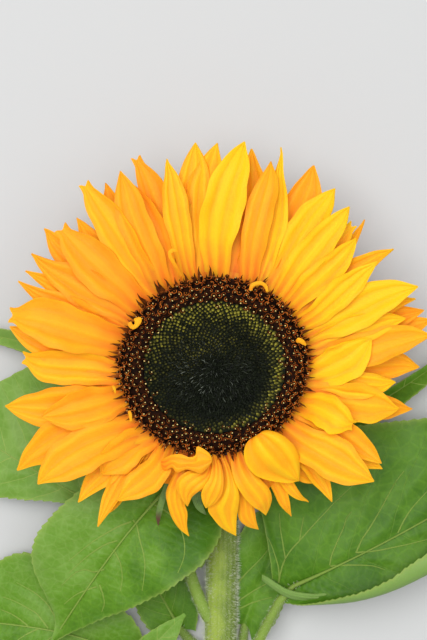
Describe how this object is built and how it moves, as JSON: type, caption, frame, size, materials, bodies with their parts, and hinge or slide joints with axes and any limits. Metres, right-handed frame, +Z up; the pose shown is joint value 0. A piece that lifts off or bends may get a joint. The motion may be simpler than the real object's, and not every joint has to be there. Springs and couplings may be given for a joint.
{
  "type": "cut sunflower",
  "caption": "Cut sunflower lying on its back: layered yellow ray petals round a dark seed disc, green bracts, a hairy bent stem and broad toothed leaves.",
  "frame": {"origin": "centre of the bottom of the bounding box, on the surface that the flower lies on", "axes": "+Z up, out of the face of the bloom; +Y along the stem from its cut end towards the bloom; +X to the right when the bloom is seen from above with the stem towards the viewer"},
  "size_m": [0.2396, 0.3312, 0.0522],
  "materials": {
    "stem": "matt light green with fine pale hairs",
    "bract": "matt green, hairy",
    "petal": "satin golden yellow, more orange towards the base",
    "floret": "matt dark maroon with pale yellow pollen tips",
    "bud": "matt near-black green with olive tips",
    "leaf": "satin mid green with paler veins"
  },
  "bodies": {
    "root": {"stem": "stem", "receptacle": "bract", "ray_petals": "petal", "disc_florets": "floret", "disc_buds": "bud", "leaf_left_front": "leaf", "leaf_right_big": "leaf", "leaf_left_upper": "leaf", "leaf_left_lower": "leaf", "leaf_right_low": "leaf", "leaf_left_low": "leaf", "leaf_left_top": "leaf", "leaf_right_top": "leaf", "leaf_left_small": "leaf"}
  },
  "joints": []
}
